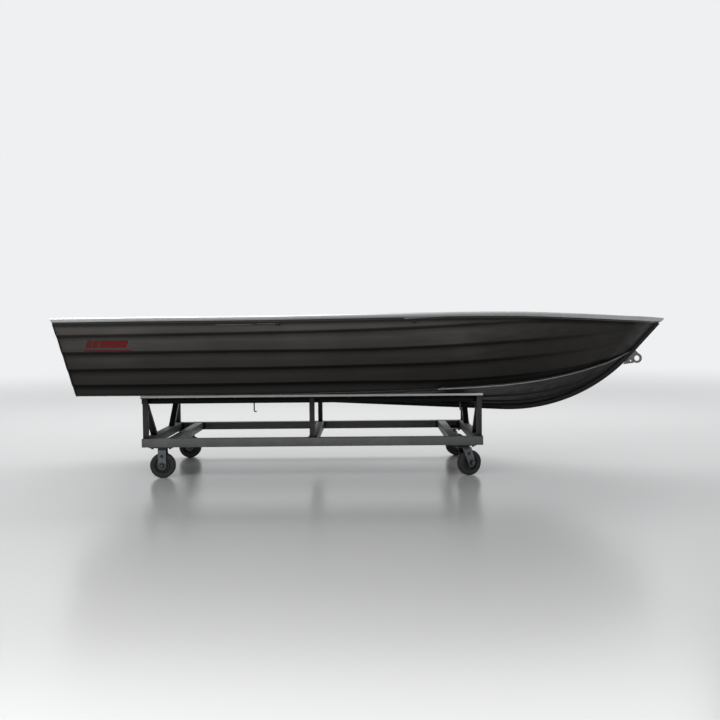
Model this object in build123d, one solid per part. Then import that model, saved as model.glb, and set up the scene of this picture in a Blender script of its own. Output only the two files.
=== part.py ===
# Aluminium rowing and outboard dinghy with its rolling steel workshop cradle.
# Row frame: millimetres, +X to the bow, +Y to port, +Z up, origin on the floor under the whole's middle.
# The boat is drawn level in a frame of its own, with zero at the foot of the transom on the base line,
# and is then set down on the cradle a little bow down.
import os
from math import cos, hypot, radians, sin, sqrt, tan

from build123d import *

os.makedirs("parts", exist_ok=True)
far = 5000.0               # reaches past the whole object, for cutting boxes

# Driving dimensions of the boat
plate = 2.0                # bottom and side sheet
transom_plate = 3.0
stem_lean = 39.7           # degrees from upright
stem_foot = 3046.0         # where the stem line meets the base line
forefoot_start = 2555.0    # where the keel begins to rise
keel_depth = 22.0          # keel and stem bar stand this far proud of the sheets
keel_width = 20.0
seat_gap = 0.3             # clearance between pieces that lie on curved faces
band_ratio = 2.0           # height of a pressed plank step for each unit of its depth
bottom_ridge = 6.0         # depth of the pressed bottom ridges
bottom_ridge_width = 26.0
ridge_places = (0.30, 0.62)
gunwale_top = 4.0          # thickness of the gunwale's top web
gunwale_in = 30.0
gunwale_out = 18.5
gunwale_nose = 25.0
gunwale_drop = 35.0
gunwale_lip = 16.0
spray_rise = 10.0
spray_out = 15.0
transom_height = 400.0     # clamp height over the base line
transom_notch = 520.0      # width of the lowered middle
transom_pad = 200.0        # half-breadth of the motor pads
bench_width = 300.0
bench_sheet = 2.0
bench_round = 12.0         # radius of a bench's long edges
bench_skirt = 60.0         # its faces run this far under the base line before the hull cuts them off
rib_height = 22.0
rib_width = 40.0
rib_flange = 15.0
deck_plate = 2.5
deck_aft = 3120.0
deck_flange = 20.0
knee_plate = 4.0
knee_y = 110.0             # half the distance between the two upright knees
knee_reach = 230.0         # how far forward the upright knees stand on the bottom
corner_height = 440.0      # underside of the corner knees
block_length = 80.0        # rowlock blocks under the gunwale
block_depth = 18.0
block_bore = 6.5
block_wall = 2.5           # between the bore and the block's inboard face
eye_plate = 12.0
trim_angle = 2.8           # degrees bow down on the cradle
seated_span = (350.0, 1650.0)   # stretch of the bottom that lies on the bunks
lift_aft = 8.0             # the bottom's rise off the bunks' line at the transom
lift_fore = 12.0           # and at the stations forward of that stretch

# Hull stations from stern to bow, each a flat cut across the boat.
# Columns: foot on the base line, lean in degrees (+ forward), chine half-breadth, chine height,
# sheer half-breadth, sheer height, depth of the plank steps, the four steps' places from chine to sheer,
# and the count of straight stretches from this station to the next.
STATIONS = [
    (12.0, -16.0, 565.0, 24.0, 660.0, 472.0, 8.0, 0.134, 0.337, 0.552, 0.770, 1),
    (450.0, -8.0, 588.0, 46.0, 700.0, 498.5, 8.0, 0.135, 0.341, 0.557, 0.776, 2),
    (1100.0, 0.0, 600.0, 82.0, 735.0, 534.0, 8.0, 0.139, 0.342, 0.561, 0.789, 2),
    (1650.0, 0.0, 597.0, 116.0, 745.0, 566.0, 8.0, 0.138, 0.346, 0.554, 0.800, 2),
    (2090.0, 2.0, 560.0, 150.0, 728.0, 594.0, 8.0, 0.110, 0.344, 0.568, 0.824, 2),
    (2450.0, 8.0, 475.0, 182.0, 652.0, 614.0, 8.0, 0.120, 0.374, 0.606, 0.875, 3),
    (2750.0, 17.0, 335.0, 235.0, 497.0, 619.8, 6.5, 0.130, 0.414, 0.661, 0.934, 3),
    (2930.0, 26.0, 200.0, 299.0, 315.0, 621.2, 5.0, 0.115, 0.438, 0.710, 0.958, 2),
    (3020.0, 34.0, 88.0, 364.0, 155.0, 622.4, 3.0, 0.102, 0.458, 0.731, 0.962, 2),
]
spray_station = next(number for number, row in enumerate(STATIONS) if row[1] > 0)   # the rail's aft end
stem_chine = 396.0
stem_sheer = 622.8
stem_steps = (0.078, 0.453, 0.731, 0.967)
stem_keel_drop = 25.0
BENCHES = [("aft_bench", 520.0, 340.0), ("middle_bench", 1560.0, 370.0), ("bow_bench", 2480.0, 420.0)]
RIB_STARTS = (300.0, 1000.0, 1280.0, 2000.0, 2260.0)
ROWLOCKS = (1185.0, 1947.0)
# Bow eye holes: height, place forward of the stem line, hole radius, rim radius
EYE_HOLES = [(360.7, 55.2, 17.5, 31.0), (342.8, 31.1, 6.0, 17.0)]
# Bow eye corners: height, place forward of the stem line
EYE_CORNERS = [(420.0, -17.0), (389.5, 42.5), (347.5, 94.5), (328.0, 53.5), (318.0, 6.0)]

# Driving dimensions of the cradle
cradle_x = -378.0
cradle_length = 2016.0
rail_size = 50.0
rail_wall = 3.0
rail_track = 450.0         # half the distance between the rails' middles
post_size = 30.0
post_wall = 2.5
post_inset = 21.5          # middle of an end post from the rail's end
bunk_height = 495.0
bunk_strip = 13.0
angle_leg = 37.0
angle_wall = 4.0
inner_member = 147.0       # from an end cross-member to the one beside it
brace_foot = 245.0         # half-breadth of the braces' feet
brace_width = 38.0
brace_depth = 36.0         # along the cradle
hook_aft = 345.0           # aft pair of lashing hooks, behind the cradle's middle
hook_fore = 132.0          # fore pair, from the cradle's fore end
hook_drop = 54.0           # how far they hang below the angle rails
hook_bar = 7.0

# Casters
wheel_radius = 75.0
wheel_width = 40.0
rim_radius = 46.0
hub_web = 20.0
caster_height = 190.0
caster_track = 410.0
caster_inset = 110.0       # wheel middle or swivel axis from the rail's end
caster_plate = (140.0, 110.0, 6.0)
fork_gap = 50.0
fork_wall = 5.0
fork_leg = 48.0
axle_radius = 6.0
bore_clearance = 0.05
swivel_trail = 40.0
swivel_top = 62.0          # width of a swivel fork's top, and its middle ahead of the swivel's axis
swivel_shift = 6.0
race_radius = 36.0
race_height = 14.0
race_gap = 0.5
kingpin_radius = 8.0
swivel_yaw = {"stbd": 28.0, "port": 8.0}

# Where the boat's frame lies in the row frame
bunk_over_base = 14.7      # the bunks' tops over the base line's height at the transom
boat_x = -1742.0
boat_z = bunk_height - bunk_over_base
boat_place = Location((boat_x, 0, boat_z), (0, trim_angle, 0))
stem_run = stem_foot - forefoot_start
forefoot_radius = stem_run / tan(radians(90 - stem_lean) / 2)
seat_y = rail_track - post_size / 2


def write(name, *solids):
    """Write one node's solids, already in the row frame."""
    shape = solids[0] if len(solids) == 1 else Compound(children=list(solids))
    shape.label = name
    export_step(shape, f"parts/{name}.step")


def write_boat(name, *solids):
    """Write a node of the boat, drawn in the boat's own frame."""
    write(name, *[solid.moved(boat_place) for solid in solids])


def one(shape):
    """The only solid of a shape that was joined or cut."""
    return shape.solids()[0]


def both(solid):
    """The port solid and its starboard mirror image."""
    return [solid, solid.mirror(Plane.XZ)]


def box(x_range, y_range, z_range):
    low = (x_range[0], y_range[0], z_range[0])
    size = (x_range[1] - x_range[0], y_range[1] - y_range[0], z_range[1] - z_range[0])
    return Solid.make_box(*size, Plane(low))


def across(middle, size):
    """The two ends of a size laid about its middle."""
    return (middle - size / 2, middle + size / 2)


def slab(x_from, x_to):
    """Everything between two places along the object."""
    return box((x_from, x_to), (-far, far), (-far, far))


def keel_height(foot, tangent, offset):
    """Height at which a station's cut meets the keel outline, moved inward by offset."""
    z = offset
    for _ in range(60):
        x = foot + z * tangent
        if x > forefoot_start:
            reach = (forefoot_radius - offset) ** 2 - (x - forefoot_start) ** 2
            z = forefoot_radius - sqrt(max(reach, 0.0))
    return z


def seat_height(foot, tangent):
    """Height in the boat's frame of the bunks' tops at their inner edges."""
    z = 0.0
    for _ in range(20):
        x = foot + z * tangent
        z = (bunk_height + seat_gap - boat_z + x * sin(radians(trim_angle))) / cos(radians(trim_angle))
    return z


def turn_point(foot, tangent, keel_y, keel_z, chine_y, chine_z):
    """Where a bottom section turns towards the chine: on the bunks' line, or a share of the way out."""
    if foot > STATIONS[spray_station][0] + 1:
        return keel_y + 0.78 * (chine_y - keel_y), keel_z + 0.79 * (chine_z - keel_z)
    aft = max(0.0, 1 - foot / seated_span[0])
    fore = max(0.0, foot - seated_span[1]) / (STATIONS[spray_station][0] - seated_span[1])
    return seat_y, seat_height(foot, tangent) + lift_aft * aft ** 2 + lift_fore * fore ** 2


def station(row, keel_z=None):
    """A station's outer points as (half-breadth, height) lists for its bottom and side."""
    foot, lean, chine_y, chine_z, sheer_y, sheer_z, step = row[:7]
    tangent = tan(radians(lean))
    keel_z = keel_height(foot, tangent, keel_depth) if keel_z is None else keel_z
    keel_y = keel_width / 2 + seat_gap
    share = step / STATIONS[0][6]
    turn_y, turn_z = turn_point(foot, tangent, keel_y, keel_z, chine_y, chine_z)
    bottom = [(keel_y, keel_z)]
    for place in ridge_places:
        y = keel_y + place * (turn_y - keel_y)
        z = keel_z + place * (turn_z - keel_z)
        half = min(bottom_ridge_width * share, 0.12 * (turn_y - keel_y)) / 2
        slope = (turn_z - keel_z) / (turn_y - keel_y)
        drop = bottom_ridge * half * 2 / bottom_ridge_width
        bottom += [(y - half, z - half * slope), (y, z - drop), (y + half, z + half * slope)]
    bottom += [(turn_y, turn_z), (chine_y, chine_z)]
    top = sheer_z - gunwale_top - seat_gap
    side = [(chine_y, chine_z + plate + seat_gap)]
    for place in row[7:]:
        z = chine_z + place * (sheer_z - chine_z)
        half = step * band_ratio / 2
        for level, inset in ((z - half, step), (z + half, 0.0)):
            y = chine_y + (level - chine_z) / (sheer_z - chine_z) * (sheer_y - chine_y) - inset
            side.append((y, level))
    side.append((sheer_y, top))
    return {"foot": foot, "tangent": tangent, "bottom": bottom, "side": side, "sheer": (sheer_y, sheer_z),
            "chine": (chine_y, chine_z)}


def faired(rows, stretches):
    """The table's rows with more rows between them, every column on a smooth curve along the boat."""
    along = [row[0] + 300 * tan(radians(row[1])) for row in rows]

    def slope(number, column):
        before, after = max(number - 1, 0), min(number + 1, len(rows) - 1)
        if before == number or after == number:
            return (rows[after][column] - rows[before][column]) / (along[after] - along[before])
        left = (rows[number][column] - rows[before][column]) / (along[number] - along[before])
        right = (rows[after][column] - rows[number][column]) / (along[after] - along[number])
        weight = (along[number] - along[before]) / (along[after] - along[before])
        return left * (1 - weight) + right * weight

    fair = [rows[0]]
    for number, count in enumerate(stretches):
        span = along[number + 1] - along[number]
        for part in range(1, count + 1):
            t = part / count
            row = []
            for column in range(len(rows[0])):
                a, b = rows[number][column], rows[number + 1][column]
                rise_a, rise_b = slope(number, column) * span, slope(number + 1, column) * span
                row.append(a * (2 * t ** 3 - 3 * t ** 2 + 1) + rise_a * (t ** 3 - 2 * t ** 2 + t)
                           + b * (3 * t ** 2 - 2 * t ** 3) + rise_b * (t ** 3 - t ** 2))
            fair.append(tuple(row))
    return fair


def on_cut(cut, points):
    """Points (half-breadth, height) placed on a station's leaning cut."""
    return [Vector(cut["foot"] + z * cut["tangent"], y, z) for y, z in points]


def loft_through(cuts, outline):
    """A solid lofted straight from each cut's closed outline to the next."""
    wires = [Wire.make_polygon(on_cut(cut, outline(cut)), close=True) for cut in cuts]
    return Solid.make_loft(wires, True)


def raised(points, y_shift, z_shift):
    return [(y + y_shift, z + z_shift) for y, z in points]


stem_tangent = tan(radians(stem_lean))
stem_inner = stem_foot - keel_depth / cos(radians(stem_lean))
stem_half = keel_width / 2 + seat_gap + plate
stem_row = (stem_inner, stem_lean, stem_half, stem_chine, stem_half, stem_sheer, 0.25) + stem_steps
stretches = [row[-1] for row in STATIONS]
fair_rows = faired([row[:-1] for row in STATIONS] + [stem_row], stretches)
cuts = [station(row) for row in fair_rows[:-1]]
cuts.append(station(stem_row, keel_z=stem_chine - stem_keel_drop))
spray_first = sum(stretches[:spray_station])


def side_outline(cut):
    return cut["side"] + raised(cut["side"], -plate, 0)[::-1]


def bottom_outline(cut):
    return cut["bottom"] + raised(cut["bottom"], 0, plate)[::-1]


side_panel = loft_through(cuts, side_outline)
bottom_panel = loft_through(cuts, bottom_outline)


def hold_outline(cut):
    """The space inside the sheets, whole width, a clearance inside them."""
    floor = raised(cut["bottom"][:-1], 0, plate + seat_gap)
    wall = raised(cut["side"], -plate - seat_gap, 0)
    wall[0] = (wall[0][0], cut["chine"][1] + plate + seat_gap)
    half = floor + wall
    return half + [(-y, z) for y, z in half[::-1]]


def loft_near(x_from, x_to, outline):
    """A loft through the cuts that enclose a stretch of the boat."""
    reach = [(cut["foot"], cut["foot"] + cut["sheer"][1] * cut["tangent"]) for cut in cuts]
    first = max([number for number, ends in enumerate(reach) if max(ends) <= x_from], default=0)
    last = min([number for number, ends in enumerate(reach) if min(ends) >= x_to], default=len(cuts) - 1)
    return loft_through(cuts[first:last + 1], outline)


def flare(cut):
    """Outward slope of a station's side, as breadth for each unit of height."""
    chine, sheer = cut["chine"], cut["side"][-1]
    return (sheer[0] - chine[0]) / (sheer[1] - chine[1])


def gunwale_outline(cut):
    """The gunwale extrusion's section, sheared to follow the side sheet's flare."""
    y0, z0 = cut["sheer"]
    slope = flare(cut)
    shape = [
        (seat_gap, -gunwale_drop), (6.0, -gunwale_drop), (6.0, -gunwale_nose), (12.0, -gunwale_nose),
        (gunwale_out - 1.5, -0.76 * gunwale_nose), (gunwale_out, -0.5 * gunwale_nose),
        (gunwale_out - 1.5, -0.24 * gunwale_nose), (12.0, 0.0), (-gunwale_in, 0.0),
        (-gunwale_in, -gunwale_lip), (-gunwale_in + 3, -gunwale_lip), (-gunwale_in + 3, -gunwale_top),
        (seat_gap, -gunwale_top),
    ]
    return [(y0 + u + slope * (v + gunwale_top + seat_gap), z0 + v) for u, v in shape]


nose_cut = dict(cuts[-1])
nose_cut["foot"] = stem_foot
nose_cut["sheer"] = (-stem_half, stem_sheer)
port_side = box((-far, far), (seat_gap / 2, far), (-far, far))
gunwale = one(loft_through(cuts + [nose_cut], gunwale_outline) & port_side)


def spray_outline(cut):
    y0, z0 = cut["chine"]
    slope = flare(cut)
    size = cut.get("spray_size", 1.0)
    rise = spray_rise * size
    out = spray_out * size
    inner = seat_gap + slope * rise
    crest = max(0.45 * out, inner + 1.5)
    shape = [(seat_gap, -3.0), (0.6 * out, -4.0), (out, -2.0), (out, 2.0), (crest, rise), (inner, rise)]
    return [(y0 + max(u, seat_gap + slope * v), z0 + v) for u, v in shape]


def between(first, second, share):
    """A cut part of the way from one cut to the next."""
    def mix(a, b):
        return tuple(p + share * (q - p) for p, q in zip(a, b))
    cut = {name: first[name] + share * (second[name] - first[name]) for name in ("foot", "tangent")}
    cut["chine"] = mix(first["chine"], second["chine"])
    for name in ("bottom", "side"):
        cut[name] = [mix(a, b) for a, b in zip(first[name], second[name])]
    return cut


spray_cuts = [{**cuts[spray_first], "spray_size": 0.4}]
spray_cuts += [between(cuts[spray_first], cuts[spray_first + 1], 0.12)]
spray_cuts += cuts[spray_first + 1:-1] + [{**cuts[-1], "spray_size": 0.6}]
spray_rail = loft_through(spray_cuts, spray_outline)


def stem_outline(offset, top):
    """Keel and stem line at an inward offset, from the transom to the height top."""
    middle = (forefoot_start, forefoot_radius)
    radius = forefoot_radius - offset
    turn = radians(90 - stem_lean)
    end = (middle[0] + radius * sin(turn), middle[1] - radius * cos(turn))
    half = (middle[0] + radius * sin(turn / 2), middle[1] - radius * cos(turn / 2))
    foot = stem_foot - offset / cos(radians(stem_lean))
    tip = (foot + top * stem_tangent, top)
    start = (STATIONS[0][0] + offset * tan(radians(STATIONS[0][1])), offset)
    return start, (forefoot_start, offset), half, end, tip


def bar(top_height, first, last, half_width):
    """A bar along the keel and stem between two offsets of their outline."""
    a, b, c, d, e = [Vector(x, 0, z) for x, z in stem_outline(first, top_height)]
    p, q, r, s, t = [Vector(x, 0, z) for x, z in stem_outline(last, top_height)]
    edges = [Edge.make_line(a, b), Edge.make_three_point_arc(b, c, d), Edge.make_line(d, e),
             Edge.make_line(e, t), Edge.make_line(t, s), Edge.make_three_point_arc(s, r, q),
             Edge.make_line(q, p), Edge.make_line(p, a)]
    face = Face(Wire(edges))
    return Solid.extrude(face.moved(Location((0, -half_width, 0))), Vector(0, 2 * half_width, 0))


stem_top = stem_sheer - gunwale_drop - seat_gap
whole_bar = bar(stem_top, 0.0, keel_depth + plate, keel_width / 2)
keel_strip = one(whole_bar & slab(-far, forefoot_start))
stem_bar = one(whole_bar & slab(forefoot_start, far))


def stem_point(height, forward):
    return Vector(stem_foot + height * stem_tangent + forward, -eye_plate / 2, height)


# Bow eye: a plate on the stem bar's front with a rim round each of its two holes
eye_wire = Wire.make_polygon([stem_point(*corner) for corner in EYE_CORNERS], close=True)
bow_eye = Solid.extrude(Face(eye_wire), Vector(0, eye_plate, 0))
for height, forward, hole, rim in EYE_HOLES:
    bow_eye += Solid.make_cylinder(rim, eye_plate, Plane(stem_point(height, forward), z_dir=(0, 1, 0)))
for height, forward, hole, rim in EYE_HOLES:
    bow_eye -= Solid.make_cylinder(hole, eye_plate, Plane(stem_point(height, forward), z_dir=(0, 1, 0)))
bow_eye = one(bow_eye - bar(stem_top, -seat_gap, 3 * keel_depth, eye_plate))

# Transom: drawn on the stern station's cut, its thickness aft
stern = cuts[0]
stern_normal = Vector(-1, 0, stern["tangent"]).normalized()


def stern_solid(points, thickness, start=0.0):
    """A plate on the transom's outline: points are (y, height), thickness runs aft from start."""
    wire = Wire.make_polygon([p + stern_normal * start for p in on_cut(stern, points)], close=True)
    return Solid.extrude(Face(wire), stern_normal * thickness)


cap_up = 3.0
cap_down = 14.0
cap_side = 3.0
corner_top = stern["sheer"][1] - gunwale_top - cap_up - 1
half_outline = [(0.0, keel_depth)] + stern["bottom"] + stern["side"][1:-1]
side_top_y = stern["side"][-2][0] + (corner_top - stern["side"][-2][1]) * 0.2
top_line = [(side_top_y, corner_top), (transom_notch / 2 + 60, corner_top),
            (transom_notch / 2, transom_height), (0.0, transom_height)]
half_transom = half_outline + top_line
transom = stern_solid(half_transom + [(-y, z) for y, z in half_transom[::-1][1:-1]], transom_plate)
drain_at = on_cut(stern, [(0.0, keel_depth + 19.0)])[0] + stern_normal * transom_plate
transom = one(transom + Solid.make_cylinder(15.0, 7.0, Plane(drain_at, z_dir=stern_normal)))

cap_end = stern["sheer"][0] - gunwale_in - 10
line = [(cap_end, corner_top)] + top_line[1:]
line += [(-y, z) for y, z in line[::-1][1:]]
cap_profile = raised(line, 0, cap_up) + raised(line, 0, -cap_down)[::-1]
cap = one(stern_solid(cap_profile, transom_plate + 2 * cap_side, -cap_side) - transom)

pad_low = 60.0
pad_high = transom_height - cap_down - 2
inner_pad_thick = 20.0
outer_pad_thick = 6.0
pad_points = [(transom_pad, pad_low), (transom_pad, pad_high)]
pad_points += [(-y, z) for y, z in pad_points[::-1]]
inner_pad = stern_solid(pad_points, -inner_pad_thick)
outer_pad = stern_solid(pad_points, outer_pad_thick, transom_plate)


def pad_face(height):
    """Place along the boat of the inner pad's front face."""
    lean = radians(STATIONS[0][1])
    return stern["foot"] + height * stern["tangent"] + inner_pad_thick / cos(lean)


# Upright knees: two gussets from the bottom to the motor pad, hollowed along their long edge
knee_top = pad_high - 10
knee_tip = pad_face(knee_top) + 40
knee_edges = [
    Edge.make_line((pad_face(pad_low), 0, pad_low), (knee_reach, 0, pad_low)),
    Edge.make_line((knee_reach, 0, pad_low), (knee_reach, 0, pad_low + 35)),
    Edge.make_three_point_arc((knee_reach, 0, pad_low + 35), (55, 0, 165), (knee_tip, 0, knee_top)),
    Edge.make_line((knee_tip, 0, knee_top), (pad_face(knee_top), 0, knee_top)),
    Edge.make_line((pad_face(knee_top), 0, knee_top), (pad_face(pad_low), 0, pad_low)),
]
knee_face = Face(Wire(knee_edges)).moved(Location((0, knee_y - knee_plate / 2, 0)))
stern_hold = loft_near(-far, knee_reach, hold_outline)
knee = one(Solid.extrude(knee_face, Vector(0, knee_plate, 0)) & stern_hold)

# Corner knees: flat plates in the stern's corners, each with a hand hole along its long edge
corner_plan = [(-300.0, 430.0), (-110.0, 430.0), (130.0, 760.0), (-300.0, 760.0)]
corner_wire = Wire.make_polygon([Vector(x, y, corner_height) for x, y in corner_plan], close=True)
corner_knee = Solid.extrude(Face(corner_wire), Vector(0, 0, knee_plate)) & stern_hold
hand_slot = (100.0, 30.0)
hand_place = Plane((-67.0, 559.0, corner_height), x_dir=(0.6, 0.8, 0), z_dir=(0, 0, 1))
corner_knee = one(corner_knee - extrude(hand_place * SlotOverall(*hand_slot), knee_plate))


# Benches, ribs and bow deck, each cut to the space inside the sheets
def bench(start, top):
    """A folded bench: its top and two faces down to the bottom, with rounded long edges."""
    def trough(inset, low):
        block = box((start + inset, start + bench_width - inset), (-far, far), (low, top - inset))
        return block.fillet(bench_round - inset, block.edges().filter_by(Axis.Y).group_by(Axis.Z)[-1])
    space = loft_near(start, start + bench_width, hold_outline)
    return one((trough(0.0, -bench_skirt) - trough(bench_sheet, -2 * bench_skirt)) & space)


def cut_at(foot):
    """The cut whose foot lies at a place along the base line."""
    for first, second in zip(cuts, cuts[1:]):
        if first["foot"] <= foot <= second["foot"]:
            return between(first, second, (foot - first["foot"]) / (second["foot"] - first["foot"]))


def floor_line(cut):
    """Corners of the bottom sheet's inner face, from the keel to just inside the chine."""
    edge = (cut["chine"][0] - plate - 8, cut["chine"][1] + 2)
    return raised([cut["bottom"][0], cut["bottom"][-2], edge], 0, plate + seat_gap)


def floor_height(cut, y):
    keel, turn, edge = floor_line(cut)
    low, high = (keel, turn) if y < turn[0] else (turn, edge)
    return low[1] + (y - low[0]) / (high[0] - low[0]) * (high[1] - low[1])


# A rib's section as (place along the boat, lift over the sheet), up and over the hat and back inside it
rib_under = rib_height - bench_sheet
RIB_PROFILE = [
    (-rib_flange, 0.0), (-rib_flange, bench_sheet), (0.0, bench_sheet), (0.0, rib_height),
    (rib_width, rib_height), (rib_width, bench_sheet), (rib_width + rib_flange, bench_sheet),
    (rib_width + rib_flange, 0.0), (rib_width - bench_sheet, 0.0), (rib_width - bench_sheet, rib_under),
    (bench_sheet, rib_under), (bench_sheet, 0.0),
]


def rib(start):
    """A top-hat rib with a flange along each side, lofted across the bottom from chine to chine."""
    corners = [y for y, z in floor_line(cut_at(start + rib_width / 2))]
    ends = [floor_line(cut_at(place)) for place in (start - rib_flange, start + rib_width + rib_flange)]
    corners[-1] = min(end[-1][0] for end in ends)
    sections = []
    for y in [-y for y in corners[::-1]] + corners:
        points = []
        for along, lift in RIB_PROFILE:
            cut = cut_at(start + along)
            points += on_cut(cut, [(y, floor_height(cut, abs(y)) + lift)])
        sections.append(Wire.make_polygon(points, close=True))
    return Solid.make_loft(sections, True)


deck_top = STATIONS[-3][5] - gunwale_lip - seat_gap
bow_deck = box((deck_aft, far), (-far, far), (deck_top - deck_plate, deck_top))
bow_deck += box((deck_aft, deck_aft + deck_plate), (-far, far), (deck_top - deck_flange, deck_top))
bow_deck = one(bow_deck & loft_near(deck_aft, far, hold_outline))


# Rowlock blocks: under the gunwale's top web, between its lip and the side sheet
def block_outline(cut):
    y0, z0 = cut["sheer"]
    high = z0 - gunwale_top - seat_gap
    inner = y0 - gunwale_in + 3 + seat_gap
    outer = y0 - plate - 1
    return [(inner, high), (outer, high), (outer - block_depth * flare(cut), high - block_depth),
            (inner, high - block_depth)]


def sheer_at(x):
    """Half-breadth and height of the sheer at a place along the boat."""
    points = [(cut["foot"] + cut["sheer"][1] * cut["tangent"], *cut["sheer"]) for cut in cuts]
    for first, second in zip(points, points[1:]):
        if first[0] <= x <= second[0]:
            share = (x - first[0]) / (second[0] - first[0])
            return [a + share * (b - a) for a, b in zip(first[1:], second[1:])]


rowlock_blocks = []
for x in ROWLOCKS:
    sheer_y, sheer_z = sheer_at(x)
    bore_y = sheer_y - gunwale_in + 3 + seat_gap + block_bore + block_wall
    low = Plane((x, bore_y, sheer_z - gunwale_drop))
    span = across(x, block_length)
    block = loft_near(*span, block_outline) & slab(*span)
    rowlock_blocks.append(one(block - Solid.make_cylinder(block_bore, gunwale_drop, low)))
    gunwale = one(gunwale - Solid.make_cylinder(block_bore + 1, 2 * gunwale_drop, low))


# The cradle, in the row frame
cradle_aft = cradle_x - cradle_length / 2
cradle_fore = cradle_x + cradle_length / 2
rail_low = caster_height
rail_high = caster_height + rail_size


def tube(x_range, y_range, z_range, wall, along):
    """A square tube with open ends, along X, Y or Z."""
    outer = box(x_range, y_range, z_range)
    ranges = [x_range, y_range, z_range]
    for number, span in enumerate(ranges):
        grow = 1.0 if number == along else -wall
        ranges[number] = (span[0] - grow, span[1] + grow)
    return outer - box(*ranges)


bottom_rails = [tube((cradle_aft, cradle_fore), across(side * rail_track, rail_size), (rail_low, rail_high),
                     rail_wall, 0) for side in (1, -1)]
member_x = [cradle_aft + rail_size / 2, cradle_aft + rail_size / 2 + inner_member, cradle_x,
            cradle_fore - rail_size / 2 - inner_member, cradle_fore - rail_size / 2]
member_half = rail_track - rail_size / 2
members = [tube(across(x, rail_size), (-member_half, member_half), (rail_low, rail_high), rail_wall, 1)
           for x in member_x]
post_x = [cradle_aft + post_inset, cradle_x, cradle_fore - post_inset]
strip_low = bunk_height - bunk_strip
post_top = strip_low - angle_wall
post_span = (rail_high, post_top)
posts = [tube(across(x, post_size), across(side * rail_track, post_size), post_span, post_wall, 2)
         for x in post_x for side in (1, -1)]


def yz_prism(points, x_range):
    wire = Wire.make_polygon([Vector(x_range[0], y, z) for y, z in points], close=True)
    return Solid.extrude(Face(wire), Vector(x_range[1] - x_range[0], 0, 0))


brace_top = strip_low - angle_leg - 2
brace_points = [(seat_y, brace_top), (seat_y, brace_top - brace_width),
                (brace_foot + brace_width / 2, rail_high), (brace_foot - brace_width / 2, rail_high)]
braces = []
for x in (post_x[0], post_x[2]):
    braces += both(yz_prism(brace_points, across(x, brace_depth)))

strip_aft = cradle_aft - 6.0
strip_fore = cradle_fore
out_y = rail_track + post_size / 2
angle_points = [(out_y, strip_low), (out_y, post_top), (seat_y, post_top), (seat_y, strip_low - angle_leg),
                (seat_y - angle_wall, strip_low - angle_leg), (seat_y - angle_wall, strip_low)]
angle_rails = both(yz_prism(angle_points, (strip_aft, strip_fore)))
bunk_strips = both(box((strip_aft, strip_fore), (seat_y, out_y), (strip_low, bunk_height)))

# Lashing hooks: flat bars on the angle rails' inner faces, bent forward at the foot
def hook(x):
    half, low, bend = hook_bar / 2, strip_low - angle_leg - hook_drop, 10.0
    top, toe = strip_low - 5, 15.0
    sag = bend * (1 - sqrt(0.5))
    edges = [
        Edge.make_line((x + half, 0, top), (x - half, 0, top)),
        Edge.make_line((x - half, 0, top), (x - half, 0, low + bend)),
        Edge.make_three_point_arc((x - half, 0, low + bend), (x - half + sag, 0, low + sag),
                                  (x - half + bend, 0, low)),
        Edge.make_line((x - half + bend, 0, low), (x + toe, 0, low)),
        Edge.make_line((x + toe, 0, low), (x + toe, 0, low + hook_bar)),
        Edge.make_line((x + toe, 0, low + hook_bar), (x + half, 0, low + hook_bar)),
        Edge.make_line((x + half, 0, low + hook_bar), (x + half, 0, top)),
    ]
    face = Face(Wire(edges)).moved(Location((0, seat_y - angle_wall - hook_bar, 0)))
    return Solid.extrude(face, Vector(0, hook_bar, 0))


lashing_hooks = both(hook(cradle_x - hook_aft)) + both(hook(cradle_fore - hook_fore))

# Casters
plate_x, plate_y, plate_z = caster_plate
stern_axle_x = cradle_aft + caster_inset
swivel_x = cradle_fore - caster_inset
plate_low = caster_height - plate_z


def caster_top(x, side, bore):
    top = box(across(x, plate_x), across(side * caster_track, plate_y), (plate_low, caster_height))
    if bore:
        top = one(top - Solid.make_cylinder(bore, plate_z, Plane((x, side * caster_track, plate_low))))
    return top


kingpin_bore = kingpin_radius + bore_clearance
caster_plates = [caster_top(x, side, bore) for x, bore in ((stern_axle_x, 0.0), (swivel_x, kingpin_bore))
                 for side in (1, -1)]


def at_axle(end_x, y):
    """A plane across the axle at a place along it."""
    return Plane(origin=(end_x, y, wheel_radius), z_dir=(0, 1, 0))


def fork_side(top_x, top_z, top_width, end_x, y_range):
    """One fork leg: straight sides from its top down to a round end at the axle, with the axle's hole."""
    reach = hypot(top_x - end_x, top_z - wheel_radius)
    along = Vector(top_x - end_x, 0, top_z - wheel_radius) * (fork_leg / 2 / reach)
    beside = Vector(along.Z, 0, -along.X)
    middle = Vector(end_x, y_range[0], wheel_radius)
    high = [Vector(top_x + side * top_width / 2, y_range[0], top_z) for side in (-1, 1)]
    edges = [Edge.make_line(middle - beside, high[0]), Edge.make_line(high[0], high[1]),
             Edge.make_line(high[1], middle + beside),
             Edge.make_three_point_arc(middle + beside, middle - along, middle - beside)]
    wide = y_range[1] - y_range[0]
    leg = Solid.extrude(Face(Wire(edges)), Vector(0, wide, 0))
    return one(leg - Solid.make_cylinder(axle_radius + bore_clearance, wide, at_axle(end_x, y_range[0])))


def fork(web_high, top_x, top_width, end_x):
    """A folded fork about Y = 0: two legs and the web that joins their tops."""
    inner = fork_gap / 2
    outer = inner + fork_wall
    spans = ((inner, outer), (-outer, -inner))
    legs = [fork_side(top_x, web_high, top_width, end_x, span) for span in spans]
    web = box(across(top_x, top_width), (-outer, outer), (web_high - fork_wall, web_high))
    return one(legs[0] + legs[1] + web)


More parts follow.
